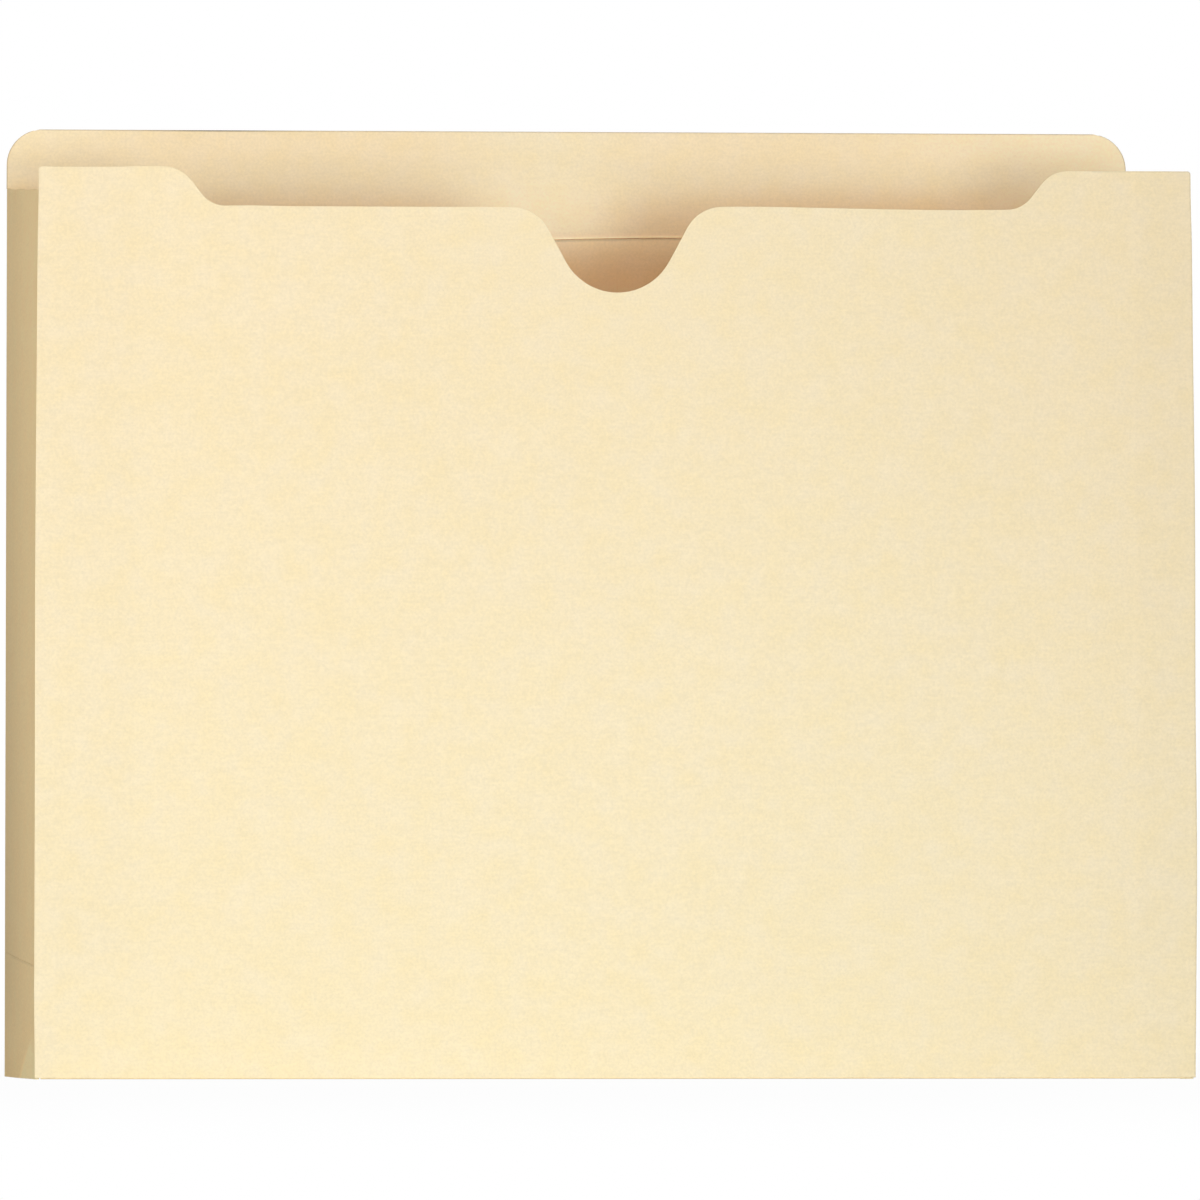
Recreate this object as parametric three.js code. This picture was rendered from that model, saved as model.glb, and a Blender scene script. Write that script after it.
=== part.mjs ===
import * as THREE from 'three';

// An expanding file jacket of manila card, standing open on its bottom folds.
// Millimetres, +Z up, +X to the reader's right, -Y towards the reader.

// Card and glue
const card = 0.28;
const glueFilm = 0.1;
const glueGap = 0.02;
const glueMargin = 3;

// Folds: room on the inside of a fold, card left out at it, and its distance from a panel
const foldRoom = 0.1;
const foldTrim = 0.15;
const foldOffset = 0.35;

// Back panel and its doubled tab
const panelWidth = 298.5;
const backHeight = 251;
const tabCornerRadius = 10.5;
const tabPlyDepth = 29.5;
const tabPlyInset = 1.2;

// Front panel: shoulders at both sides, a lower edge between them
const shoulderRise = 5.8;
const shoulderLength = 33;
const shoulderRadius = 8.5;
const shoulderSlope = 52;
const hollowRadius = 7.7;
const edgeDrop = 9.7;

// Thumb notch in the front panel's lower edge
const notchDepth = 22.1;
const notchRadius = 15.2;
const notchFilletRadius = 10.3;
const notchFlankAngle = 28.2;

// Side gussets, each of two leaves, stretched flat; the front panel stands off to the right
const sideLeaf = 25.4;
const frontSideShift = 11;
const gussetBelowTab = 16;
const gussetTopDrop = 6.8;
const gussetFootRoom = 2.9;

// Glue flaps of the side gussets, behind the front panel
const leftFlapWidth = 25;
const rightFlapWidth = 15;
const flapBevel = 6;

// Bottom gusset and the webs that close its corners
const bottomLeaf = 25.4;
const bottomLift = 0.02;
const bottomMeetingGap = 0.2;
const webGap = 0.3;

const degrees = Math.PI / 180;
const lean = Math.acos(frontSideShift / (2 * sideLeaf));
const slope = shoulderSlope * degrees;
const flank = notchFlankAngle * degrees;

const foldSkin = foldRoom + card;
const foldStack = 2 * foldRoom + card;
const flapStack = card + glueFilm + 2 * glueGap;
const gussetFoot = bottomLeaf + gussetFootRoom;
const gussetTop = backHeight - gussetBelowTab;
const flapTop = gussetTop - gussetTopDrop;
const shoulderHeight = flapTop + shoulderRise;

function material(color, roughness) {
  return new THREE.MeshStandardMaterial({ color, roughness, metalness: 0 });
}

const manila = () => material(0xf7e8c2, 0.82);
const paleManila = () => material(0xf1dcb3, 0.84);
const driedGlue = () => material(0xe6dcc0, 0.5);

const jacket = new THREE.Group();

function addTo(group, name, geometry, finish) {
  const mesh = new THREE.Mesh(geometry, finish);
  mesh.name = name;
  group.add(mesh);
  return mesh;
}

// A sheet upright in X and Z, its thickness running from y = 0 towards the reader
function sheet(outline, thickness) {
  const geometry = new THREE.ExtrudeGeometry(outline, {
    depth: thickness,
    bevelEnabled: false,
    curveSegments: 20,
  });
  return geometry.rotateX(Math.PI / 2);
}

function polygon(corners) {
  return new THREE.Shape(corners.map(([x, y]) => new THREE.Vector2(x, y)));
}

// Plan points hold x and the depth in front of the back panel's inner face
function along(angle, side = 0) {
  const run = new THREE.Vector2(Math.cos(angle), Math.sin(angle));
  return side ? new THREE.Vector2(side * run.y, -side * run.x) : run;
}

// A point of a leaf: its distance along the leaf, and its distance across from the fold line
function leafPoint(hinge, distance, side, across) {
  return hinge.clone()
    .addScaledVector(along(lean), distance)
    .addScaledVector(along(lean, side), across);
}

// Fold lines of a side gusset: side is +1 where the rear leaf lies right of its fold line
function foldLines(startX, side) {
  const start = new THREE.Vector2(startX, foldOffset);
  const crease = leafPoint(start, sideLeaf, side, foldStack);
  const end = leafPoint(crease, sideLeaf, -side, foldStack);
  return { start, crease, end, side };
}

const leftFolds = foldLines(foldSkin, -1);
const rightFolds = foldLines(panelWidth - foldSkin, 1);

const flapDepth = leftFolds.end.y + foldRoom;
const frontDepth = flapDepth + flapStack;
const frontLeft = leftFolds.end.x - foldSkin;

// Back panel, with the tab's rounded corners at its top
function backOutline(bottom, inset, widenAt) {
  const right = panelWidth;
  const r = tabCornerRadius;
  const shape = new THREE.Shape();
  shape.moveTo(inset, bottom);
  shape.lineTo(right - inset, bottom);
  if (inset > 0) {
    shape.lineTo(right - inset, widenAt);
    shape.lineTo(right, widenAt);
  }
  shape.absarc(right - r, backHeight - r, r, 0, Math.PI / 2, false);
  shape.absarc(r, backHeight - r, r, Math.PI / 2, Math.PI, false);
  if (inset > 0) {
    shape.lineTo(0, widenAt);
    shape.lineTo(inset, widenAt);
  }
  return shape;
}

addTo(jacket, 'back_panel', sheet(backOutline(0, 0, 0), card), manila()).position.y = card;

// Tab ply, folded down over the front of the back panel and glued to it
const plyBottom = backHeight - tabPlyDepth;
const plyWiden = gussetTop + webGap;
const tabPly = sheet(backOutline(plyBottom, tabPlyInset, plyWiden), card);
addTo(jacket, 'tab_inner_ply', tabPly, manila()).position.y = -(flapStack - card);

const tabGlueSides = tabCornerRadius;
const tabGlue = sheet(polygon([
  [tabGlueSides, plyBottom + glueMargin],
  [panelWidth - tabGlueSides, plyBottom + glueMargin],
  [panelWidth - tabGlueSides, backHeight - glueMargin],
  [tabGlueSides, backHeight - glueMargin],
]), glueFilm);
addTo(jacket, 'tab_glue_line', tabGlue, driedGlue()).position.y = -glueGap;

// Front panel: shoulders, slopes down to the lower edge, and the thumb notch
function frontOutline() {
  const edge = shoulderHeight - edgeDrop;
  const bends = (shoulderRadius + hollowRadius) * (1 - Math.cos(slope));
  const straight = (edgeDrop - bends) / Math.sin(slope);
  const slopeRun = (shoulderRadius + hollowRadius) * Math.sin(slope) + straight * Math.cos(slope);
  const hollowX = shoulderLength + slopeRun;
  const top = Math.PI / 2;

  const middle = panelWidth / 2;
  const flankDrop = notchDepth - (notchRadius + notchFilletRadius) * (1 - Math.sin(flank));
  const notchHalf = (notchRadius + notchFilletRadius) * Math.cos(flank) + flankDrop * Math.tan(flank);
  const filletY = edge - notchFilletRadius;

  const shape = new THREE.Shape();
  shape.moveTo(0, 0);
  shape.lineTo(panelWidth, 0);
  shape.lineTo(panelWidth, shoulderHeight);
  const shoulderY = shoulderHeight - shoulderRadius;
  shape.absarc(panelWidth - shoulderLength, shoulderY, shoulderRadius, top, top + slope, false);
  shape.absarc(panelWidth - hollowX, edge + hollowRadius, hollowRadius, slope - top, -top, true);
  shape.absarc(middle + notchHalf, filletY, notchFilletRadius, top, Math.PI - flank, false);
  shape.absarc(middle, edge - notchDepth + notchRadius, notchRadius, -flank, flank - Math.PI, true);
  shape.absarc(middle - notchHalf, filletY, notchFilletRadius, flank, top, false);
  shape.absarc(hollowX, edge + hollowRadius, hollowRadius, -top, -top - slope, true);
  shape.absarc(shoulderLength, shoulderY, shoulderRadius, top - slope, top, false);
  shape.lineTo(0, shoulderHeight);
  return shape;
}

const front = new THREE.Group();
front.position.set(frontLeft, -frontDepth, 0);
jacket.add(front);
addTo(front, 'front_panel', sheet(frontOutline(), card), manila());

// Side gusset leaves: upright strips whose top edge falls towards the front
function gussetLeaf(name, hinge, side, topShare) {
  const low = foldTrim;
  const high = sideLeaf - foldTrim;
  const topAt = (u) => gussetTop - gussetTopDrop * (topShare + 0.5 * u / sideLeaf);
  const outline = polygon([
    [low, gussetFoot],
    [high, gussetFoot],
    [high, topAt(high)],
    [low, topAt(low)],
  ]);
  const place = new THREE.Group();
  place.position.set(hinge.x, -hinge.y, 0);
  place.rotation.z = -lean;
  jacket.add(place);
  const leaf = addTo(place, name, sheet(outline, card), paleManila());
  leaf.position.y = side > 0 ? foldSkin : -foldRoom;
}

// Glue flap, turned in from a gusset's front leaf, and the glue between it and the front panel
function glueFlap(name, width, atRight) {
  const place = (x) => (atRight ? panelWidth - x : x);
  const flap = polygon([
    [place(0), gussetFoot],
    [place(width - flapBevel), gussetFoot],
    [place(width), gussetFoot + flapBevel],
    [place(width), flapTop - flapBevel],
    [place(width - flapBevel), flapTop],
    [place(0), flapTop],
  ]);
  const glue = polygon([
    [place(glueMargin), gussetFoot + flapBevel],
    [place(width - glueMargin), gussetFoot + flapBevel],
    [place(width - glueMargin), flapTop - flapBevel],
    [place(glueMargin), flapTop - flapBevel],
  ]);
  addTo(front, name + '_glue_flap', sheet(flap, card), paleManila()).position.y = flapStack;
  addTo(front, name + '_glue_line', sheet(glue, glueFilm), driedGlue()).position.y = glueFilm + glueGap;
}

// Bottom gusset: two full-width leaves that rise to meet halfway between the panels
const bottomHinge = new THREE.Vector2(foldOffset, foldSkin + bottomLift);
const bottomReach = frontDepth / 2 - foldOffset - bottomMeetingGap;
const bottomTilt = Math.asin(bottomReach / bottomLeaf);

// Height of the upper face of a bottom leaf at a depth in front of the nearer panel
function bottomTopAt(depth) {
  return bottomHinge.y + ((depth - bottomHinge.x) * Math.cos(bottomTilt) - foldRoom) / Math.sin(bottomTilt);
}

function bottomGussetLeaf(name, left, turned) {
  const outline = polygon([
    [foldSkin, foldTrim],
    [panelWidth - foldSkin, foldTrim],
    [panelWidth - foldSkin, bottomLeaf],
    [foldSkin, bottomLeaf],
  ]);
  const place = new THREE.Group();
  const atFront = turned ? frontDepth - bottomHinge.x : bottomHinge.x;
  place.position.set(turned ? left + panelWidth : left, -atFront, bottomHinge.y);
  place.rotation.set(bottomTilt, 0, turned ? Math.PI : 0, 'ZXY');
  jacket.add(place);
  addTo(place, name, sheet(outline, card), paleManila()).position.y = -foldRoom;
}

bottomGussetLeaf('bottom_gusset_rear_leaf', 0, false);
bottomGussetLeaf('bottom_gusset_front_leaf', frontLeft, true);

// A folded upright strip: plan points with the heights of its lower edge, and one upper edge
function foldedStrip(points, lowers, upper, thickness) {
  const positions = [];
  const last = points.length - 1;
  points.forEach((point, i) => {
    const before = points[Math.max(i - 1, 0)];
    const after = points[Math.min(i + 1, last)];
    const run = after.clone().sub(before).normalize();
    const offset = new THREE.Vector2(-run.y, run.x).multiplyScalar(thickness / 2);
    for (const way of [-1, 1]) {
      const x = point.x + way * offset.x;
      const y = -(point.y + way * offset.y);
      positions.push(x, y, lowers[i], x, y, upper);
    }
  });
  const index = [];
  const quad = (a, b, c, d) => index.push(a, b, c, a, c, d);
  for (let i = 0; i < last; i += 1) {
    const a = 4 * i;
    const b = a + 4;
    quad(a, a + 1, b + 1, b);
    quad(a + 2, b + 2, b + 3, a + 3);
    quad(a + 1, a + 3, b + 3, b + 1);
    quad(a, b, b + 2, a + 2);
  }
  const end = 4 * last;
  quad(0, 2, 3, 1);
  quad(end, end + 1, end + 3, end + 2);
  const geometry = new THREE.BufferGeometry();
  geometry.setAttribute('position', new THREE.Float32BufferAttribute(positions, 3));
  geometry.setIndex(index);
  return geometry;
}

// Corner web: carries a side gusset down to the bottom gusset
function cornerWeb(name, folds) {
  const middle = foldRoom + card / 2;
  const points = [
    leafPoint(folds.start, foldTrim, folds.side, middle),
    leafPoint(folds.start, sideLeaf, folds.side, middle),
    leafPoint(folds.end, -foldTrim, folds.side, middle),
  ];
  const lowers = points.map(({ y }) => bottomTopAt(Math.min(y, frontDepth - y)) + webGap);
  addTo(jacket, name, foldedStrip(points, lowers, gussetFoot - webGap, card), paleManila());
}

// Both sides
function sideGusset(name, folds, flapWidth, atRight) {
  gussetLeaf(name + '_gusset_rear_leaf', folds.start, folds.side, 0);
  gussetLeaf(name + '_gusset_front_leaf', folds.crease, -folds.side, 0.5);
  glueFlap(name, flapWidth, atRight);
  cornerWeb(name + '_corner_web', folds);
}

sideGusset('left', leftFolds, leftFlapWidth, false);
sideGusset('right', rightFolds, rightFlapWidth, true);

// The origin lies under the middle of the whole jacket
jacket.position.set(-(panelWidth + frontLeft) / 2, frontDepth / 2, 0);

export default jacket;
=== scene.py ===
import math
import bpy
import numpy as np
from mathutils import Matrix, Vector


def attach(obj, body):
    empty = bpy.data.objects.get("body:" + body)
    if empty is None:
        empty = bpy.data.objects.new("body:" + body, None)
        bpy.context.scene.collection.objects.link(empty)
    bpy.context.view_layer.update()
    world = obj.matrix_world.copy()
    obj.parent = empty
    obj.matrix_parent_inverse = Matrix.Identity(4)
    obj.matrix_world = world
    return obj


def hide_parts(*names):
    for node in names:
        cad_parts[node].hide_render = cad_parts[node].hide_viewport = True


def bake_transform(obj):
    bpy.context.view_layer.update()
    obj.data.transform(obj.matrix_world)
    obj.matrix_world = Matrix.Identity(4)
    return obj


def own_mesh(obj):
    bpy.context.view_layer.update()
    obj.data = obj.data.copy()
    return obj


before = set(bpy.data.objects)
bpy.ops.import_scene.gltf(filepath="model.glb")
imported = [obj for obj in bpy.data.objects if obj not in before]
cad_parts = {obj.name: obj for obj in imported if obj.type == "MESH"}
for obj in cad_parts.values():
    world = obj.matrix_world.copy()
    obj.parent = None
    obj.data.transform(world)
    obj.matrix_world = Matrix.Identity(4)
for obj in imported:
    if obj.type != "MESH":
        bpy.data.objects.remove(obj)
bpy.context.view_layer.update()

# The camera
# A long lens, low down and a little left of the middle, so that the front looks square and the left gusset
# shows.
look_at = Vector((0.00214, 0.0, 0.12465))
camera_turn = math.radians(2.07)
camera_rise = math.radians(3.26)
camera_distance = 1.715
film_width = 36
focal_length = 196.68
forward = Vector((
    math.sin(camera_turn) * math.cos(camera_rise),
    math.cos(camera_turn) * math.cos(camera_rise),
    math.sin(camera_rise),
))
lens = bpy.data.cameras.new("camera")
lens.sensor_width = film_width
lens.lens = focal_length
camera = bpy.data.objects.new("camera", lens)
camera.location = look_at - forward * camera_distance
camera.rotation_euler = forward.to_track_quat("-Z", "Y").to_euler()
bpy.context.scene.collection.objects.link(camera)
bpy.context.scene.camera = camera


# Back panel
# One thickness of manila card, die cut with the tab's two rounded corners at its top. It is scored down both
# sides, where the gussets fold forward from it, and along the bottom. Sizes are in millimetres.
card = 0.28
rim_bulge = 0.03
rim_loop_share = 0.4
panel_width = 298.5
back_height = 251.0
corner_radius = 9.5
corner_start = back_height - corner_radius
tab_fold_radius = 0.21
tab_fold_height = back_height - card / 2 - tab_fold_radius
back_middle = -card / 2
gusset_top = 235.0
side_inset = 0.95
fold_lean = 0.3
tab_inset = 0.15
panel_foot = 0.42
back_bow_depth = 0.3
back_bow_top = 221
jacket_middle_x = 154.75
jacket_middle_depth = 25.23238


def place(x, depth, z):
    """Points of the row frame in metres, from x off the back panel's left edge, depth in front of its inner
    face and height, all in millimetres: the jacket's middle is taken off and depth turns to -Y."""
    x, depth, z = np.broadcast_arrays(x, depth, z)
    return 0.001 * np.stack((x - jacket_middle_x, jacket_middle_depth - depth, z), axis=-1)


def blend_in(value, start, end):
    """0 before start and 1 after end, with the smooth step 3t^2 - 2t^3 of the share t between them."""
    t = np.clip((value - start) / (end - start), 0, 1)
    return t * t * (3 - 2 * t)


def blend_down(z, start, end):
    """0 above the height start and 1 below the lower height end, with the same smooth step between them."""
    return blend_in(-z, -start, -end)


def swell(place_along, centre, width):
    """A smooth swell 1 high at its centre, that falls away as a bell curve over its width."""
    return np.exp(-(((place_along - centre) / width) ** 2))


def card_sheet(name, middle, finish, tone, buff):
    """A sheet of card as one closed mesh, from its middle surface, a grid of points in metres. The normal is
    the cross product of the grid's two slopes, each face is the middle moved half a card along it, and the
    cut rim between the faces is two loops pushed out by the rim's bulge along the edge's own outward
    direction. Tone holds the brightness of the first and the second face at each point, and buff how brown
    they are."""
    wide, high = middle.shape[:2]
    normal = np.cross(np.gradient(middle, axis=0), np.gradient(middle, axis=1))
    normal /= np.linalg.norm(normal, axis=2, keepdims=True)
    half = 0.001 * card / 2
    index = np.arange(wide * high).reshape(wide, high)
    rim = np.concatenate((index[:-1, 0], index[-1, :-1], index[:0:-1, -1], index[0, :0:-1]))
    flat = middle.reshape(-1, 3)
    flat_normal = normal.reshape(-1, 3)
    edge = flat[rim]
    outward = np.cross(np.roll(edge, -1, 0) - np.roll(edge, 1, 0), flat_normal[rim])
    outward /= np.linalg.norm(outward, axis=1, keepdims=True)
    bulge = edge + 0.001 * rim_bulge * outward
    points = np.concatenate((
        flat + half * flat_normal,
        flat - half * flat_normal,
        bulge + rim_loop_share * half * flat_normal[rim],
        bulge - rim_loop_share * half * flat_normal[rim],
    ))
    total = wide * high
    front = np.stack((index[:-1, :-1], index[1:, :-1], index[1:, 1:], index[:-1, 1:]), axis=-1).reshape(-1, 4)
    rear = front[:, ::-1] + total
    ring = np.arange(len(rim))
    loops = (rim, 2 * total + ring, 2 * total + len(rim) + ring, rim + total)
    walls = [
        np.stack((above, below, np.roll(below, -1), np.roll(above, -1)), axis=-1)
        for above, below in zip(loops, loops[1:])
    ]
    faces = np.concatenate((front, rear, *walls))
    mesh = bpy.data.meshes.new(name)
    mesh.from_pydata(points.tolist(), [], faces.tolist())
    mesh.polygons.foreach_set("use_smooth", np.ones(len(faces), bool))
    ends = np.zeros(2 * len(mesh.edges), int)
    mesh.edges.foreach_get("vertices", ends)
    ends = np.sort(ends.reshape(-1, 2), axis=1)
    face_rims = (loops[0], loops[-1])
    corners = np.concatenate([np.sort(np.stack((loop, np.roll(loop, -1)), 1), axis=1) for loop in face_rims])
    sharp = np.isin(ends @ (len(points), 1), corners @ (len(points), 1))
    mesh.attributes.new("sharp_edge", "BOOLEAN", "EDGE").data.foreach_set("value", sharp)
    cut = np.zeros(len(faces), np.float32)
    cut[2 * len(front):] = 1
    mesh.attributes.new("cut_edge", "FLOAT", "FACE").data.foreach_set("value", cut)
    for label, pair in (("tone", tone), ("buff", buff)):
        first, second = (np.broadcast_to(value, (wide, high)).reshape(-1) for value in pair)
        values = np.concatenate((first, second, first[rim], second[rim])).astype(np.float32)
        mesh.attributes.new(label, "FLOAT", "POINT").data.foreach_set("value", values)
    mesh.materials.append(finish)
    sheet = bpy.data.objects.new(name, mesh)
    bpy.context.scene.collection.objects.link(sheet)
    return sheet


def screen(red, green, blue):
    """A colour as it looks on a screen, 0 to 255 a channel, as linear light with the display curve undone: a
    channel's share is divided by 12.92 in the dark, and else has 0.055 added, is divided by 1.055 and takes
    the power 2.4."""
    shown = np.array((red, green, blue)) / 255
    return (*np.where(shown <= 0.04045, shown / 12.92, ((shown + 0.055) / 1.055) ** 2.4), 1.0)


def noise(tree, scale, detail, stretch=None):
    """Output of a noise pattern in a material's node tree, on Object coordinates that may be stretched."""
    vector = tree.nodes.new("ShaderNodeTexCoord").outputs["Object"]
    if stretch:
        mapping = tree.nodes.new("ShaderNodeMapping")
        mapping.inputs["Scale"].default_value = stretch
        tree.links.new(vector, mapping.inputs["Vector"])
        vector = mapping.outputs["Vector"]
    texture = tree.nodes.new("ShaderNodeTexNoise")
    texture.inputs["Scale"].default_value = scale
    texture.inputs["Detail"].default_value = detail
    tree.links.new(vector, texture.inputs["Vector"])
    return texture.outputs["Fac"]


def spread(tree, value, low, high, from_low=0.3, from_high=0.7):
    """Output that runs evenly from low to high as a value runs over its own range, by default a noise's."""
    node = tree.nodes.new("ShaderNodeMapRange")
    tree.links.new(value, node.inputs["Value"])
    node.inputs["From Min"].default_value = from_low
    node.inputs["From Max"].default_value = from_high
    node.inputs["To Min"].default_value = low
    node.inputs["To Max"].default_value = high
    return node.outputs["Result"]


def joined(tree, operation, one, other):
    """Output of two values joined by an operation: their product, or the greater of them."""
    node = tree.nodes.new("ShaderNodeMath")
    node.operation = operation
    tree.links.new(one, node.inputs[0])
    tree.links.new(other, node.inputs[1])
    return node.outputs[0]


def mixed(tree, share, first, second, blend="MIX"):
    """Output of a mix by share of a first colour, or the output of another mix, with a second colour."""
    node = tree.nodes.new("ShaderNodeMix")
    node.data_type = "RGBA"
    node.blend_type = blend
    tree.links.new(share, node.inputs["Factor"])
    if isinstance(first, tuple):
        node.inputs["A"].default_value = first
    else:
        tree.links.new(first, node.inputs["A"])
    node.inputs["B"].default_value = second
    return node.outputs["Result"]


def attribute(tree, label):
    """Output of one of the numbers that a sheet's mesh carries."""
    node = tree.nodes.new("ShaderNodeAttribute")
    node.attribute_name = label
    return node.outputs["Fac"]


def emboss(tree, height, strength, distance):
    """Bumps a material's surface by a height, over a distance in metres."""
    bump = tree.nodes.new("ShaderNodeBump")
    bump.inputs["Strength"].default_value = strength
    bump.inputs["Distance"].default_value = distance
    tree.links.new(height, bump.inputs["Height"])
    tree.links.new(bump.outputs["Normal"], tree.nodes["Principled BSDF"].inputs["Normal"])


def manila(name, plain, warm, fibre):
    """Uncoated manila card. Slow clouds mix its two tints, and fine mottling, flecks and the grain of its
    fibres change its brightness by a few hundredths. A fuzzy tint of bare fibre marks the cut edges, and the
    sheet's buff and tone, which carry painted light and shade, turn it brown and shade it. The mottling also
    sets its roughness and, with the grain, a bump a few hundredths of a millimetre high."""
    material = bpy.data.materials.new(name)
    material.use_nodes = True
    tree = material.node_tree
    shader = tree.nodes["Principled BSDF"]
    shader.inputs["Specular IOR Level"].default_value = 0.2

    def times(one, other):
        return joined(tree, "MULTIPLY", one, other)

    mottling = noise(tree, scale=1500, detail=2.5)
    clouds = noise(tree, scale=170, detail=4)
    grain = noise(tree, scale=1, detail=2, stretch=(260, 260, 1500))
    flecks = noise(tree, scale=2300, detail=1)
    brown = (1, 0.735, 0.55, 1)
    tint = mixed(tree, spread(tree, clouds, 0, 1), plain, warm)
    tint = mixed(tree, times(attribute(tree, "cut_edge"), spread(tree, mottling, 0.55, 1)), tint, fibre)
    tint = mixed(tree, attribute(tree, "buff"), tint, brown, "MULTIPLY")
    light = times(spread(tree, mottling, 0.961, 1.035), spread(tree, grain, 0.985, 1.015))
    light = times(light, spread(tree, flecks, 1, 0.96, from_low=0.66, from_high=0.74))
    light = times(light, attribute(tree, "tone"))
    shade = tree.nodes.new("ShaderNodeVectorMath")
    shade.operation = "SCALE"
    tree.links.new(tint, shade.inputs[0])
    tree.links.new(light, shade.inputs["Scale"])
    tree.links.new(shade.outputs[0], shader.inputs["Base Color"])
    tree.links.new(spread(tree, mottling, 0.76, 0.88), shader.inputs["Roughness"])
    emboss(tree, times(mottling, spread(tree, grain, 0.8, 1.2)), strength=0.35, distance=0.00005)
    return material


manila_card = manila("manila_card", screen(250, 235, 200), screen(250, 233, 191), screen(246, 229, 188))


def corner_inset(z):
    """How far the tab's rounded corner stands in from the panel's side at a height: the radius less the
    half chord of its circle."""
    above = np.clip(z - corner_start, 0, corner_radius)
    return corner_radius - np.sqrt(corner_radius**2 - above**2)


def back_bow(x, z):
    """Slow bow of the panel away from the reader: half a wave across, times the square of half a wave from
    the floor up to the tab's foot."""
    across = np.sin(np.pi * x / panel_width)
    return -back_bow_depth * across * np.sin(np.pi * np.clip(z / back_bow_top, 0, 1)) ** 2


def fold_shift(z):
    """How far the side folds lean in from their set line: 0.3 mm out at the gussets' top and as much in at
    the foot, because a jacket that is stretched open bows a little."""
    return fold_lean - 2 * fold_lean * z / gusset_top


# The rows of the grid lie close together where the ply's foot shades the panel and round the tab's corners.
corner_rows = corner_start + corner_radius * np.sin(np.radians(np.linspace(6, 71, 12)))
back_rows = np.concatenate((
    np.linspace(panel_foot, 212, 37),
    np.linspace(214, 219.5, 5),
    np.linspace(220.6, 223.0, 14),
    np.linspace(224, 234.9, 8),
    np.linspace(235.15, corner_start, 4),
    corner_rows,
    [tab_fold_height],
))
on_tab = back_rows > gusset_top
inset = np.where(on_tab, tab_inset + corner_inset(back_rows), side_inset + fold_shift(back_rows))
back_share = np.concatenate(([0, 0.0012], np.linspace(0.003, 0.997, 74), [0.9988, 1]))[:, None]
back_x = inset + back_share * (panel_width - 2 * inset)
back_z = np.broadcast_to(back_rows, back_x.shape)
left_rim_shade = 0.38
right_rim_shade = 0.1
tab_buff = 0.2
tab_ply_foot = 222.25
ply_edge_tilt = 0.62
ply_edge_reach = 26
notch_light_middle = 142
notch_light_width = 24
notch_light_foot = 219
notch_light_full = 226


def ply_edge(x):
    """Height of the tab ply's lower edge, not cut quite level: it rises by 1.2 mm about the middle, as a
    hyperbolic tangent does."""
    return tab_ply_foot + ply_edge_tilt * np.tanh((x - panel_width / 2) / ply_edge_reach)


def notch_light(x, z):
    """Painted light on the inner face behind the thumb notch, where light falls through it: a swell across, a
    little left of the notch, that starts 6 mm below the front's lower edge."""
    return swell(x, notch_light_middle, notch_light_width) * blend_in(z, notch_light_foot, notch_light_full)


def pocket_buff(x, z):
    """How brown the inner face is, as painted warm shade: it grows from the tab down in two smooth steps and
    falls off again deep inside. It is more to the right of the notch, and less at the tab's two ends and in
    the painted light behind the notch."""
    on_tab_foot = 0.35 * blend_down(z, 238, 225)
    in_pocket = 0.4 * blend_down(z, 224, 212) - 0.55 * blend_down(z, 203, 165)
    at_ends = 0.1 * blend_in(x, 240, 290) + 0.08 * (1 - blend_in(x, 10, 50))
    right_of_notch = 0.12 * blend_in(x, 165, 215) * (1 - blend_in(x, 245, 285)) * blend_down(z, 240, 233)
    buff = tab_buff + on_tab_foot + in_pocket - at_ends + right_of_notch
    return buff * (1 - 0.75 * notch_light(x, z))


# Painted light and shade on the inner face: it is brighter deep inside, with a painted shadow just under the
# ply's foot and painted shade in the notch. It is darker at the tab's cut sides.
ply_shadow = 0.27 * swell(back_z - ply_edge(back_x), -0.35, 0.3)
rim_shade = (left_rim_shade * (back_share == 0) + right_rim_shade * (back_share == 1)) * on_tab
pocket_tone = 1 + 0.19 * blend_down(back_z, 216, 205) - 0.035 * blend_down(back_z, 221, 218)
pocket_tone = pocket_tone - 0.08 * swell(back_x, 137, 14) * blend_in(back_z, 205, 218)
back_sheet = card_sheet(
    "back_card",
    place(back_x, back_middle + back_bow(back_x, back_z), back_z),
    manila_card,
    (pocket_tone - ply_shadow - rim_shade, 1 - rim_shade),
    (pocket_buff(back_x, back_z), 0.0),
)
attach(back_sheet, "back")
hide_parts("back_panel")


# Tab's inner ply
# The same card folded over at the tab's top and glued down inside, to stiffen the tab. Its lower edge, which
# lifts a little, shows through the thumb notch as a faint line: a pale line, partly bare fibre and partly
# painted highlight, over a painted shadow.
ply_middle = back_middle + 2 * tab_fold_radius
ply_inset = 1.6
ply_rim_step = 0.3
ply_step_depth = 0.1
ply_corner_drop = 0.1
ply_lift = 0.2
ply_lift_start = 225
fold_turn = np.linspace(0, np.pi, 13)
ply_fall = np.concatenate((
    corner_rows[::-1],
    np.linspace(corner_start, 235.3, 4),
    np.linspace(235.0, 226, 5),
    np.linspace(ply_lift_start, tab_ply_foot + 0.5, 6),
    [tab_ply_foot + 0.25, tab_ply_foot],
))
ply_depth = np.concatenate((
    back_middle + tab_fold_radius - tab_fold_radius * np.cos(fold_turn),
    ply_middle + ply_lift * blend_down(ply_fall, ply_lift_start, tab_ply_foot),
))
ply_z = np.concatenate((tab_fold_height + tab_fold_radius * np.sin(fold_turn), ply_fall))
ply_corner = corner_inset(np.minimum(ply_z + ply_corner_drop, back_height))
ply_in = tab_inset + ply_corner + ply_rim_step * (ply_depth > ply_step_depth)
ply_in = np.where(ply_z < gusset_top + 0.2, ply_inset, ply_in)
ply_x = ply_in + np.linspace(0, 1, 76)[:, None] * (panel_width - 2 * ply_in)
ply_down = ply_z + (ply_edge(ply_x) - tab_ply_foot) * blend_down(ply_z, 226, 222.5)
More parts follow.
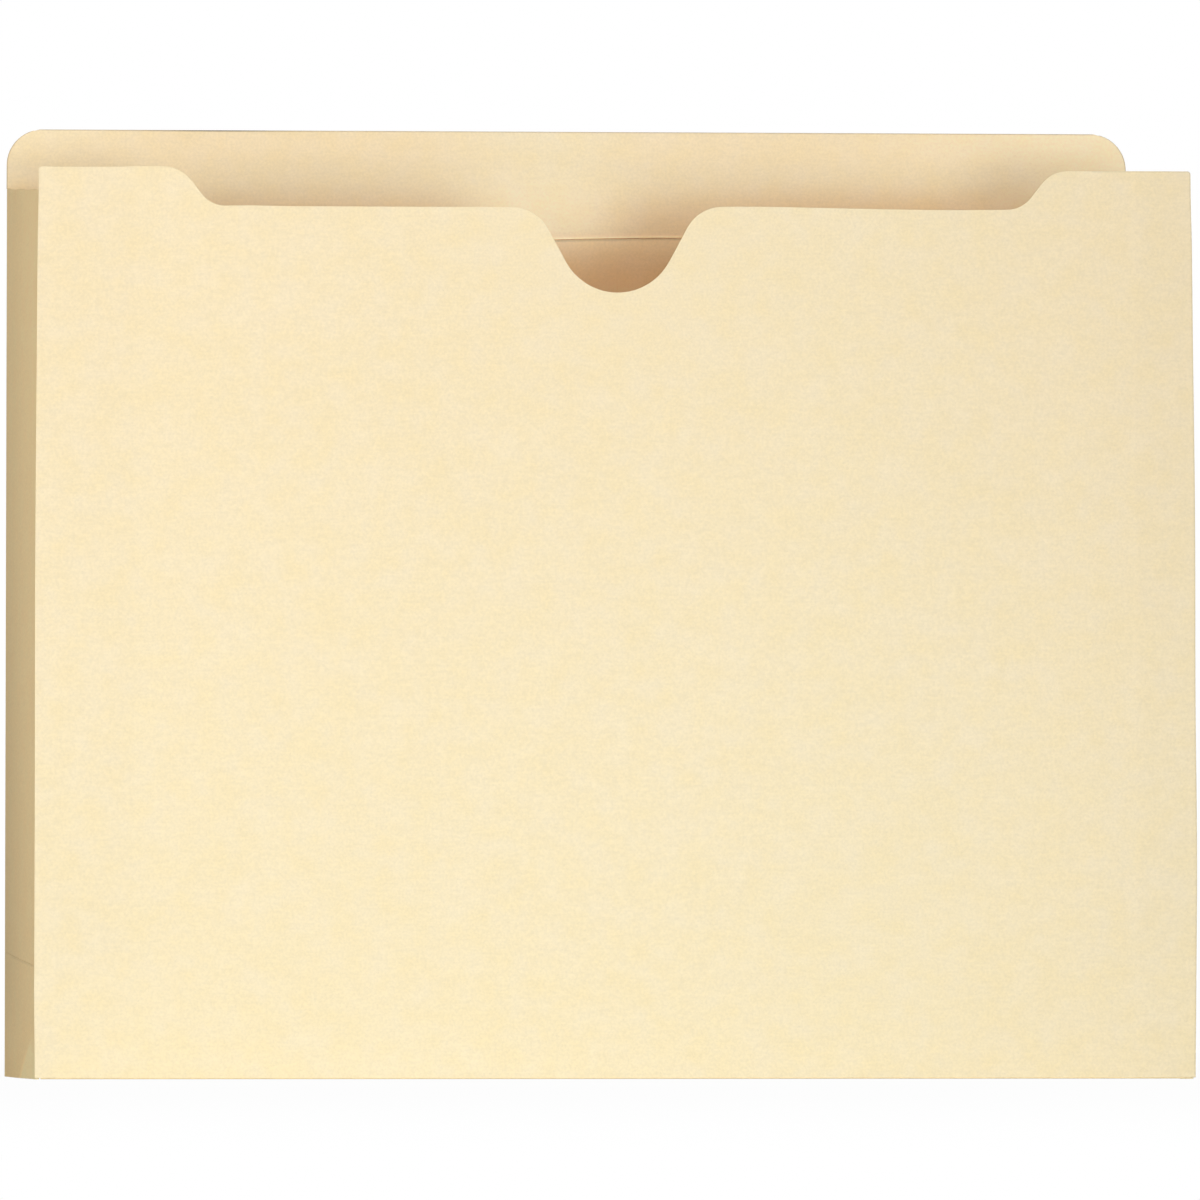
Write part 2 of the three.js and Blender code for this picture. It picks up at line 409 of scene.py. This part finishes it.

# Painted light and shade on the ply: it is brighter to the right, at the far left and low on the left. A pale
# line at its foot's cut edge is partly bare fibre and partly painted highlight. Its lower half is duller with
# painted shade, least of all in the painted light behind the notch and at its two ends, and a band of painted
# shade crosses it. The fold's crest is darker, most at the left. Painted warm shade browns its faces.
ply_buff = 0.18
lower_ply = blend_down(ply_z, 243, 232)
right_of_notch = 0.03 * blend_in(ply_x, 165, 215) * (1 - blend_in(ply_x, 250, 285))
at_ends = 0.04 * blend_in(ply_x, 240, 290) + 0.04 * (1 - blend_in(ply_x, 4, 36))
lower_light = lower_ply * (0.08 * notch_light(ply_x, ply_z) - 0.03 - right_of_notch + at_ends)
foot_light = 0.4 * swell(ply_z, tab_ply_foot, 0.4)
left_foot_light = 0.03 * blend_down(ply_z, 235, 231) * (1 - blend_in(ply_x, 80, 160))
tab_shade_band = 0.05 * swell(ply_z, 240.5, 4) * (1 - notch_light(ply_x, 240.5)) * (1 - blend_in(ply_x, 268, 292))
crest = swell(ply_z, 250.85, 0.22) * (0.18 + 0.62 * swell(ply_x, 57, 17))
ply_tone = 1.015 + 0.07 * blend_in(ply_x, 190, 290) + 0.02 * (1 - blend_in(ply_x, 0, 40))
ply_tone = ply_tone + lower_light + foot_light + left_foot_light - tab_shade_band - crest
ply_sheet = card_sheet(
    "tab_ply_card",
    place(ply_x, ply_depth, ply_down),
    manila_card,
    (ply_tone, ply_tone),
    (ply_buff, pocket_buff(ply_x, ply_down)),
)
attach(ply_sheet, "back")
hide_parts("tab_inner_ply")


# Front panel
# One thickness of the same card, die cut along the top with two shoulders, S-shaped slopes, a lower edge and
# the thumb notch. The gussets' flaps are glued behind its two sides and show as slight steps in its face.
front_left = 11.0
depth_of_front = 50.46476
front_middle = depth_of_front + card / 2
shoulder_height = 234.72
shoulder_rise = 0.15
left_shoulder = 32.75
right_shoulder = 32.3
notch_middle = 149.5
shoulder_radius = 8.5
hollow_radius = 7.7
slope_angle = math.radians(52)
edge_height = 224.82
notch_depth = 22.1
notch_radius = 15.2
fillet_radius = 10.3
flank_angle = math.radians(28.2)
front_corner = 0.8
left_flap = 25.0
right_flap = 15.0
flap_relief = 0.08
front_bow_depth = 0.45
front_ripple = 0.12

# The height, place and width of each wave that the cutting left in the top edge.
cut_waves = ((0.34, 184, 20), (-0.3, 234, 20), (0.2, 54, 7), (0.3, 29, 6))


def front_top(x):
    """Height of the top edge at a distance from the front's left edge. Each side, from its corner: a level
    shoulder, an arc down, a straight slope and an arc to the level edge. The notch, from its middle: an
    arc, a straight flank and a fillet. An arc's height is its centre's, plus or minus the half chord at that
    distance. The waves of the cut and the rise of both shoulders are added to it."""
    side = np.minimum(x, panel_width - x)
    shoulder_length = np.where(x < panel_width / 2, left_shoulder, right_shoulder)
    bends = (shoulder_radius + hollow_radius) * (1 - math.cos(slope_angle))
    straight = (shoulder_height - edge_height - bends) / math.sin(slope_angle)
    first = shoulder_length + shoulder_radius * math.sin(slope_angle)
    second = first + straight * math.cos(slope_angle)
    hollow = second + hollow_radius * math.sin(slope_angle)

    def chord(radius, offset):
        return np.sqrt(np.clip(radius**2 - offset**2, 0, None))

    top = shoulder_height - front_corner + chord(front_corner, np.clip(front_corner - side, 0, front_corner))
    arc = shoulder_height - shoulder_radius + chord(shoulder_radius, side - shoulder_length)
    fall = shoulder_height - shoulder_radius * (1 - math.cos(slope_angle))
    line = fall - (side - first) * math.tan(slope_angle)
    dish = edge_height + hollow_radius - chord(hollow_radius, hollow - side)
    top = np.where(side > shoulder_length, arc, top)
    top = np.where(side > first, line, top)
    top = np.where(side > second, dish, top)
    top = np.where(side > hollow, edge_height, top)
    away = np.abs(x - notch_middle)
    low = notch_radius * math.cos(flank_angle)
    drop = notch_depth - (notch_radius + fillet_radius) * (1 - math.sin(flank_angle))
    high = low + drop * math.tan(flank_angle)
    reach = high + fillet_radius * math.cos(flank_angle)
    bottom = edge_height - notch_depth + notch_radius
    flank = bottom - notch_radius * math.sin(flank_angle) + (away - low) / math.tan(flank_angle)
    fillet = edge_height - fillet_radius + chord(fillet_radius, reach - away)
    top = np.where(away < reach, fillet, top)
    top = np.where(away < high, flank, top)
    top = np.where(away < low, bottom - chord(notch_radius, away), top)
    for height, centre, width in cut_waves:
        top = top + height * swell(x, centre, width)
    return top + shoulder_rise * (1 - blend_in(x, 33, 40) + blend_in(x, 258, 266))


def over_flaps(x, soft, right_share):
    """1 over the left glue flap, a share over the right one and 0 between, smooth over soft to both sides."""
    left = 1 - blend_in(x, left_flap - soft, left_flap + soft)
    right_start = panel_width - right_flap
    return left + right_share * blend_in(x, right_start - soft, right_start + soft)


def front_bow(x, z):
    """Slow bow of the front towards the reader: it rises smoothly from the edges of both flaps to a level
    middle, grows with the square of the height and has a small ripple. The face steps out where it passes
    over each glue flap."""
    free = blend_in(x, left_flap, 90) * (1 - blend_in(x, 220, panel_width - right_flap))
    bow = front_bow_depth * (z / edge_height) ** 2
    ripple = front_ripple * np.sin(x / 21 + 0.6) * np.sin(z / 27)
    return flap_relief * over_flaps(x, 1, 1) + free * blend_in(z, 0, 40) * (bow + ripple)


# The columns of the grid lie close together at the sides, the flaps' edges and the curves of the top edge.
near_side = np.array((0, 0.08, 0.2, 0.4, 0.6, 0.8, 1.2))
curves = np.concatenate((
    near_side,
    np.linspace(3, left_flap - 1.4, 9),
    np.linspace(left_flap - 1, left_flap + 1, 7),
    np.linspace(left_shoulder - 0.9, left_shoulder + 17, 47),
    np.linspace(54, 118, 20),
    panel_width / 2 - np.linspace(30, 0, 70),
))
right_flap_lines = panel_width - np.linspace(right_flap + 1, right_flap - 1, 7)
columns = np.unique(np.round(np.concatenate((curves, panel_width - curves, right_flap_lines)), 3))
columns = columns[:, None]
level_top = 186
level_rows = np.linspace(panel_foot, level_top, 34)
shaped_share = np.concatenate((np.linspace(0.07, 0.97, 14), [0.991, 1]))
front_z = np.concatenate((
    np.broadcast_to(level_rows, (len(columns), len(level_rows))),
    level_top + (front_top(columns) - level_top) * shaped_share,
), axis=1)

# Both sides of the panel wave a little, by amounts that die out a short way in from them.
wave_reach = 9
near_top = blend_in(front_z, 212, 232)
left_wave = 0.2 * near_top - 0.24 * swell(front_z, 138, 55) + 0.27 * (1 - blend_in(front_z, 0, 25))
right_wave = 0.5 * swell(front_z, 140, 50) + 0.55 * swell(front_z, 58, 34) - 0.25 * near_top
right_wave = right_wave - 0.12 * (1 - blend_in(front_z, 0, 20))
front_x = columns + left_wave * (1 - blend_in(columns, 0, wave_reach))
front_x = front_x + right_wave * blend_in(columns, panel_width - wave_reach, panel_width)

# Painted shade makes the face a little darker over the flaps, upwards and to the right. Painted warm shade
# browns it upwards and to the right, and its inner face more. It is darkest at its right cut edge.
flap_shade = 0.012 * over_flaps(columns, 0.6, 0.7) * blend_in(front_z, 24, 40)
right_shade = 0.022 * blend_in(columns, 120, 290) + 0.018 * blend_in(columns, 262, 298)
top_row = np.arange(front_z.shape[1]) == front_z.shape[1] - 1
right_rim = blend_in(columns, panel_width - 0.45, panel_width - 0.2)
right_rim = np.maximum(right_rim, top_row * (columns > panel_width - 0.8 * right_shoulder))
front_tone = 1 - flap_shade - 0.045 * blend_in(front_z, 40, 225) - right_shade - 0.13 * right_rim
front_buff = 0.1 * blend_in(front_z, 20, 225) + 0.05 * blend_in(columns, 200, 295)
front_inner_buff = 0.35
front_sheet = card_sheet(
    "front_card",
    place(front_left + front_x, front_middle + front_bow(columns, front_z), front_z),
    manila_card,
    (front_tone, front_tone),
    (front_buff, front_inner_buff),
)
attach(front_sheet, "front")
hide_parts("front_panel")


# Side gussets
# Each is a strip of the same card in two leaves, with a score down its middle. The rear leaf turns forward
# from the back panel's side, and the front leaf turns in behind the front panel as the glue flap. The front
# stands 11 mm to the right of the back, so both gussets lean that way, stretched almost flat.
leaf = 25.4
lean = math.acos(front_left / (2 * leaf))
run = np.array((math.cos(lean), math.sin(lean)))
inward = np.array((1.0, 0.0))
hinge_depth = 0.35
hinge_inset = 0.38
leaf_offset = 0.24
rear_draw = 0.45
front_draw = 0.4
score_dip = 0.03
turn_points = 9
turn_length = 1.3
turn_inset = 0.05
rear_turn_reach = 0.5
flap_turn_reach = 0.4
half_crease = 0.5
flap_start = 2 * leaf - 0.5
gusset_start = 234.98
gusset_drop = 6.15
gusset_wave = 0.12
crease_rear = 33
crease_fall = 4
glue_gap = 0.14
flap_middle = front_middle - card - glue_gap
flap_bevel = 6.0
flap_tone = 1.02
# The gussets' card is a yellower copy of the manila card, and it is browned all over: both are painted warm
# shade for the shaded sides.
gusset_card = manila("gusset_card", screen(249, 235, 189), screen(250, 232, 185), screen(251, 238, 196))
gusset_warm_shade = 0.3


def curve(start, heading, end, arriving, reach, count):
    """Cubic Bezier from start to end in a plane, its two inner points a reach along the headings at its
    ends."""
    t = np.linspace(0, 1, count)[:, None]
    near = start + reach * heading
    far = end - reach * arriving
    return start * (1 - t) ** 3 + 3 * near * t * (1 - t) ** 2 + 3 * far * t * t * (1 - t) + end * t**3


def gusset_line(side, distance):
    """Plan points of a gusset's middle surface at distances from its rear fold. It runs straight along the
    lean, drawn in by parts of a parabola towards both folds, and dips a little at the middle score."""
    across = side * np.array((run[1], -run[0]))
    hinge = np.array((hinge_inset if side < 0 else panel_width - hinge_inset, hinge_depth))
    rear = np.clip(1 - distance / leaf, 0, 1)
    front = np.clip(distance / leaf - 1, 0, 1)
    dip = score_dip * swell(distance, leaf, 0.3)
    offset = leaf_offset - rear_draw * rear**2 - front_draw * front**2 - dip
    return hinge + distance[:, None] * run + offset[:, None] * across


def rear_turn(side):
    """A gusset's turn out of the back panel, in plan: a curve from the panel's side to the leaf's start."""
    side_x = side_inset if side < 0 else panel_width - side_inset
    start = np.array((side_x - turn_inset * side, back_middle))
    end = gusset_line(side, np.array((turn_length,)))[0]
    return curve(start, side * inward, end, run, rear_turn_reach, turn_points)


def front_edge(side):
    """The x of the front panel's edge on a side."""
    return front_left if side < 0 else front_left + panel_width


def flap_turn(side, start):
    """A gusset's turn in behind the front panel, in plan: a curve from the leaf's end to the flap's start."""
    end = np.array((front_edge(side) - turn_length * side, flap_middle))
    return curve(start, run, end, -side * inward, flap_turn_reach, turn_points)


def gusset_foot(distance):
    """Height of the crease above the corner web, falling evenly from 33 mm at the back to 29 mm in front."""
    return crease_rear - crease_fall * distance / (2 * leaf)


def gusset_upper(distance):
    """The gusset's top edge: it falls evenly from the back to the front, with a wave a tenth of a millimetre
    high."""
    return gusset_start - gusset_drop * distance / (2 * leaf) + gusset_wave * np.sin(distance / 3.1)


def upright(plan, lower, upper, side):
    """Grid of points over a plan path from its lower to its upper edge, close together near the lower. Each
    takes the lean of the back panel's side, by less the further forward it lies and not at all in front."""
    share = np.concatenate(([0, 0.0012, 0.0025, 0.005], np.linspace(0.012, 1, 38)))
    z = lower[:, None] + (upper - lower)[:, None] * share
    rear = np.clip(1 - plan[:, 1:] / depth_of_front, 0, 1)
    return place(plan[:, :1] - side * rear * fold_shift(z), plan[:, 1:], z)


def flat_point(plan):
    """A plan point at height nought, in the row frame."""
    return tuple(place(plan[0], plan[1], 0.0))


def gusset_shade(distance, z):
    """Painted light and shade across a gusset: paler towards the front and the top, and darker towards the
    foot, most of all at the back, though lighter again at the very foot. Painted shade darkens the rear fold,
    the middle score and the crease over the corner web."""
    share = distance / (2 * leaf)
    high = z / gusset_top
    shade = (0.965 + 0.04 * share) * (0.875 + 0.175 * share + (0.22 - 0.205 * share) * high)
    foot_light = 0.04 * (1 - blend_in(high, 0.03, 0.11)) * (1 - share)
    rear_foot_shade = 0.05 * (1 - blend_in(distance, 6, 40)) * blend_in(high, 0, 0.15)
    rear_fold_shade = 0.06 * (1 - blend_in(distance, 0.3, 1.0))
    score_shade = 0.012 * swell(distance, leaf, 0.35)
    crease_shade = 0.09 * swell(z - gusset_foot(distance), -0.35, 0.3) * blend_in(distance, 9, 18)
    return shade + foot_light - rear_foot_shade - rear_fold_shade - score_shade - crease_shade


for side, hand, flap_width in ((-1, "left", left_flap), (1, "right", right_flap)):
    rear_fold = rear_turn(side)
    fold_start = rear_fold[0]
    fold_end = rear_fold[-1]
    rear_distance = np.linspace(turn_length, leaf - half_crease, 16)
    rear_plan = np.concatenate((rear_fold, gusset_line(side, rear_distance)[1:]))
    along = np.concatenate((np.linspace(0, turn_length, turn_points), rear_distance[1:]))
    rear_grid = upright(rear_plan, gusset_foot(along), gusset_upper(along), side)
    rear_shade = gusset_shade(along[:, None], 1000 * rear_grid[:, :, 2])
    rear_sheet = card_sheet(
        hand + "_gusset_rear_card",
        rear_grid,
        gusset_card,
        (rear_shade, rear_shade),
        (gusset_warm_shade, gusset_warm_shade),
    )
    flat_point(fold_start)
    flat_point(fold_end)
    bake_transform(rear_sheet)
    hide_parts(hand + "_gusset_rear_leaf")

    crease = np.linspace(leaf - half_crease, leaf + half_crease, turn_points)
    along = np.concatenate((crease, np.linspace(leaf + 1.2, flap_start, 16)))
    front_plan = gusset_line(side, along)
    front_grid = upright(front_plan, gusset_foot(along), gusset_upper(along), side)
    front_shade = gusset_shade(along[:, None], 1000 * front_grid[:, :, 2])
    front_leaf = card_sheet(
        hand + "_gusset_front_card",
        front_grid,
        gusset_card,
        (front_shade, front_shade),
        (gusset_warm_shade, gusset_warm_shade),
    )
    crease_start = flat_point(front_plan[0])
    crease_end = flat_point(front_plan[turn_points - 1])
    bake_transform(front_leaf)
    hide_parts(hand + "_gusset_front_leaf")

    turn_start = front_plan[-1]
    turn = flap_turn(side, turn_start)
    turn_end = turn[-1]
    bevel_start = flap_width - flap_bevel
    width = np.concatenate((np.linspace(1.6, bevel_start, 8), np.linspace(flap_width - 5, flap_width, 6)))
    flap_run = np.stack((front_edge(side) - side * width, np.full(len(width), flap_middle)), axis=1)
    flap_plan = np.concatenate((turn, flap_run))
    bevel = 0.6 + np.clip(width - bevel_start, 0, None)
    flap_in = np.concatenate((np.linspace(0.3, 0.6, turn_points), bevel))
    flap_sheet = card_sheet(
        hand + "_flap_card",
        upright(flap_plan, gusset_foot(flap_start) + flap_in, gusset_upper(flap_start) - flap_in, side),
        gusset_card,
        (flap_tone, flap_tone),
        (gusset_warm_shade, gusset_warm_shade),
    )
    if side < 0:
        flat_point(turn_start)
        flat_point(turn_end)
        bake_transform(flap_sheet)
    else:
        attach(flap_sheet, "front")
    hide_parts(hand + "_glue_flap")


# Bottom gusset
# Two leaves of the same card, folded up from the feet of the panels to meet along a ridge between them, as a
# pleat that lets the jacket spread. One end of each is cut to the lean of the side gusset beside it, and the
# other is cut straight, so that it stays inside the jacket when that closes.
foot_hinge = np.array((0.35, 0.40))
half_ridge_gap = 0.2
leaf_rise = math.asin((depth_of_front / 2 - foot_hinge[0] - half_ridge_gap) / leaf)
climb = np.array((math.sin(leaf_rise), math.cos(leaf_rise)))
under = np.array((climb[1], -climb[0]))
lean_clearance = 0.2
straight_inset = 1.75
leaf_columns = 70
foot_turn_length = 0.6
foot_turn_reach = 0.25
hinge_line_x = 150.0

# The rear leaf's middle surface, as depth and height: a tight curve out of the back panel's foot, and the
# straight climb up to the ridge. The front leaf is the same one, turned about the jacket's middle.
bottom_start = np.array((back_middle, panel_foot))
bottom_end = foot_hinge + leaf_offset * under + foot_turn_length * climb
downward = np.array((0.0, -1.0))
bottom_fold = curve(bottom_start, downward, bottom_end, climb, foot_turn_reach, 10)
bottom_climb = foot_hinge + leaf_offset * under + np.linspace(1.2, leaf + 0.05, 18)[:, None] * climb
bottom_plan = np.concatenate((bottom_fold, bottom_climb))
lean_run = (run[0] / run[1]) * np.clip(bottom_plan[:, 0] - hinge_depth, 0, None)
left_end = np.maximum(side_inset + fold_lean, hinge_inset + lean_clearance + lean_run)
right_end = np.full(len(bottom_plan), panel_width - straight_inset)
leaf_x = left_end[:, None] + (right_end - left_end)[:, None] * np.linspace(0, 1, leaf_columns)
leaf_depth = np.broadcast_to(bottom_plan[:, :1], leaf_x.shape)
leaf_z = np.broadcast_to(bottom_plan[:, 1:], leaf_x.shape)
# The fold out of each panel's foot is brighter: painted light on a fold that faces down.
bottom_tone = 0.98 + 0.22 * swell(leaf_depth, 0, 0.5)
for hand, panel, turned in (("rear", "back", False), ("front", "front", True)):
    x = front_left + panel_width - leaf_x if turned else leaf_x
    depth = depth_of_front - leaf_depth if turned else leaf_depth
    bottom_sheet = card_sheet(
        "bottom_" + hand + "_card",
        place(x, depth, leaf_z),
        gusset_card,
        (bottom_tone, bottom_tone),
        (gusset_warm_shade, gusset_warm_shade),
    )
    for point in (bottom_start, bottom_end):
        tuple(place(hinge_line_x, depth_of_front - point[0] if turned else point[0], point[1]))
    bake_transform(bottom_sheet)
    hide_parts("bottom_gusset_" + hand + "_leaf")


# Corner webs
# Under each side gusset the same card goes on down to the bottom gusset and closes the corner. A diagonal
# fold crosses it near the foot. It crumples as the jacket closes.
web_top_gap = 0.09
web_foot = 0.06
pleat_start = 28
pleat_run = 10
pleat_rise = 7
facet_slope = 0.03
facet_reach = 9
web_tail = 4.0


def beyond_pleat(distance, z):
    """How far along the web a point lies in front of the diagonal fold, which rises from 28 mm along the foot
    to 38 mm along at 7 mm high."""
    return distance - pleat_start - z * pleat_run / pleat_rise


for side, hand in ((-1, "left"), (1, "right")):
    rear_fold = rear_turn(side)
    fold_start = rear_fold[0]
    distance = np.linspace(turn_length, flap_start, 60)
    line = gusset_line(side, distance)
    turn = flap_turn(side, line[-1])
    plan = np.concatenate((rear_fold, line[1:], turn[1:]))
    if side > 0:
        plan = np.concatenate((plan, ((front_edge(side) - web_tail, flap_middle),)))
    along = np.concatenate((np.linspace(0, turn_length, turn_points), distance[1:]))
    along = np.concatenate((along, np.full(len(plan) - len(along), flap_start)))
    share = np.concatenate((np.linspace(0, 0.965, 36), (0.975, 0.982, 0.988, 0.992, 0.996, 1)))
    web_z = web_foot + (gusset_foot(along) - web_top_gap - web_foot)[:, None] * share
    past = beyond_pleat(along[:, None], web_z)
    on_web = blend_in(along, 2, 6) * (1 - blend_in(along, 2 * leaf - 6, 2 * leaf - 1))
    facet = -facet_slope * np.clip(past, 0, facet_reach) * on_web[:, None]
    across = side * np.array((run[1], -run[0]))
    rear = np.clip(1 - plan[:, 1:] / depth_of_front, 0, 1)
    x = plan[:, :1] + facet * across[0] - side * rear * fold_shift(web_z)
    depth = plan[:, 1:] + facet * across[1]
    # Painted light: a lighter, less brown patch in front of the diagonal fold near the foot, and a painted
    # highlight along the fold.
    patch = blend_in(past, 0, 2) * blend_down(web_z, 13, 5)
    pleat_light = 0.09 * swell(past, 0, 1.3) * blend_down(web_z, 8, 5)
    web_tone = gusset_shade(along[:, None], web_z) + 0.03 * patch + pleat_light
    web_buff = gusset_warm_shade * (1 - patch)
    web_sheet = card_sheet(
        hand + "_web_card", place(x, depth, web_z), gusset_card, (web_tone, web_tone), (web_buff, web_buff)
    )
    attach(web_sheet, "back")
    flat_point(fold_start)
    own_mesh(web_sheet)
    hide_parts(hand + "_corner_web")


# Glue lines
# Thin films of dried water-based glue, between the tab's plies and between each flap and the front panel.
# They are the CAD solids as they are, with the milky, slightly glossy look and the brush streaks of such
# glue.
glue = bpy.data.materials.new("dried_glue")
glue.use_nodes = True
glue_tree = glue.node_tree
glue_shader = glue_tree.nodes["Principled BSDF"]
glue_shader.inputs["Specular IOR Level"].default_value = 0.45
streaks = noise(glue_tree, scale=1, detail=3, stretch=(700, 700, 40))
glue_tint = mixed(glue_tree, streaks, screen(232, 222, 196), screen(216, 202, 168))
glue_tree.links.new(glue_tint, glue_shader.inputs["Base Color"])
glue_roughness = spread(glue_tree, streaks, 0.35, 0.6, from_low=0, from_high=1)
glue_tree.links.new(glue_roughness, glue_shader.inputs["Roughness"])
emboss(glue_tree, streaks, strength=0.4, distance=0.00004)
for name in ("tab_glue_line", "left_glue_line", "right_glue_line"):
    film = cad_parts[name]
    film.data.materials.clear()
    film.data.materials.append(glue)


# Floor and light
# A pale floor in a white surround. The camera sees the floor near the jacket almost white, with 3 parts in
# 100 of its own shade, and pure white further off. To the jacket it is a cool pale grey that throws light
# back up.
floor_size = 3.0
floor_drop = 0.0002
fade_start = 0.15
fade_end = 0.75
floor_mesh = bpy.data.meshes.new("floor")
floor_square = ((-1, -1), (1, -1), (1, 1), (-1, 1))
floor_corners = [(x * floor_size, y * floor_size, -floor_drop) for x, y in floor_square]
floor_mesh.from_pydata(floor_corners, [], [(0, 1, 2, 3)])
floor = bpy.data.objects.new("floor", floor_mesh)
bpy.context.scene.collection.objects.link(floor)
floor.visible_shadow = False
floor_finish = bpy.data.materials.new("pale_floor")
floor_finish.use_nodes = True
floor_tree = floor_finish.node_tree
floor_link = floor_tree.links.new
floor_tree.nodes.remove(floor_tree.nodes["Principled BSDF"])
floor_matt = floor_tree.nodes.new("ShaderNodeBsdfDiffuse")
floor_matt.inputs["Color"].default_value = (0.74, 0.8, 0.88, 1)
floor_white = floor_tree.nodes.new("ShaderNodeEmission")
floor_white.inputs["Strength"].default_value = 1
floor_rays = floor_tree.nodes.new("ShaderNodeLightPath").outputs
floor_place = floor_tree.nodes.new("ShaderNodeTexCoord")
floor_reach = floor_tree.nodes.new("ShaderNodeVectorMath")
floor_reach.operation = "LENGTH"
floor_link(floor_place.outputs["Object"], floor_reach.inputs[0])
floor_fade = floor_tree.nodes.new("ShaderNodeMapRange")
floor_fade.interpolation_type = "SMOOTHSTEP"
floor_fade.inputs["From Min"].default_value = fade_start
floor_fade.inputs["From Max"].default_value = fade_end
floor_fade.inputs["To Min"].default_value = 0.97
floor_fade.inputs["To Max"].default_value = 1.0
floor_link(floor_reach.outputs["Value"], floor_fade.inputs["Value"])
floor_share = joined(floor_tree, "MULTIPLY", floor_rays["Is Camera Ray"], floor_fade.outputs["Result"])
floor_mix = floor_tree.nodes.new("ShaderNodeMixShader")
floor_link(floor_share, floor_mix.inputs["Fac"])
floor_link(floor_matt.outputs[0], floor_mix.inputs[1])
floor_link(floor_white.outputs[0], floor_mix.inputs[2])
floor_link(floor_mix.outputs[0], floor_tree.nodes["Material Output"].inputs["Surface"])
floor_mesh.materials.append(floor_finish)

# The surround lights the jacket warmly and weakly, and is white to the camera and in reflections.
world = bpy.data.worlds.new("surround")
bpy.context.scene.world = world
world.use_nodes = True
world_tree = world.node_tree
world_link = world_tree.links.new
surround = world_tree.nodes["Background"]
surround.inputs["Color"].default_value = (1, 0.93, 0.84, 1)
surround.inputs["Strength"].default_value = 0.1
white = world_tree.nodes.new("ShaderNodeBackground")
white.inputs["Color"].default_value = (1, 1, 1, 1)
white.inputs["Strength"].default_value = 1
rays = world_tree.nodes.new("ShaderNodeLightPath").outputs
seen = joined(world_tree, "MAXIMUM", rays["Is Camera Ray"], rays["Is Glossy Ray"])
seen = joined(world_tree, "MAXIMUM", seen, rays["Is Transmission Ray"])
world_mix = world_tree.nodes.new("ShaderNodeMixShader")
world_link(seen, world_mix.inputs["Fac"])
world_link(surround.outputs[0], world_mix.inputs[1])
world_link(white.outputs[0], world_mix.inputs[2])
world_link(world_mix.outputs[0], world_tree.nodes["World Output"].inputs["Surface"])

# Soft square lamps, each with its place, side, power and tint: a warm one on the left, a cool one low on the
# right, a warm one beside the left gusset, a plain one in front, and one behind, so that no side is dark.
lamps = (
    ("left_lamp", (-0.62, -1.2, 0.45), 0.6, 3.8, (1, 0.93, 0.84)),
    ("low_lamp", (0.45, -1.35, 0.02), 0.4, 4.6, (1, 1.13, 1.23)),
    ("side_lamp", (-0.9, -0.75, 0.28), 0.5, 3.5, (1, 0.93, 0.84)),
    ("high_lamp", (0.1, -1.3, 0.4), 0.4, 4.1, (1, 1, 1.06)),
    ("rear_lamp", (0.6, 1.4, 0.25), 0.8, 19.0, (1, 0.98, 0.95)),
)
lit_point = Vector((0.0, 0.0, 0.12))
for name, spot, size, power, tint in lamps:
    lamp = bpy.data.lights.new(name, "AREA")
    lamp.size = size
    lamp.energy = power
    lamp.color = tint
    lamp_object = bpy.data.objects.new(name, lamp)
    lamp_object.location = spot
    lamp_object.rotation_euler = (lit_point - Vector(spot)).to_track_quat("-Z", "Y").to_euler()
    lamp_object.visible_camera = False
    bpy.context.scene.collection.objects.link(lamp_object)

bpy.context.scene.view_settings.view_transform = "Standard"
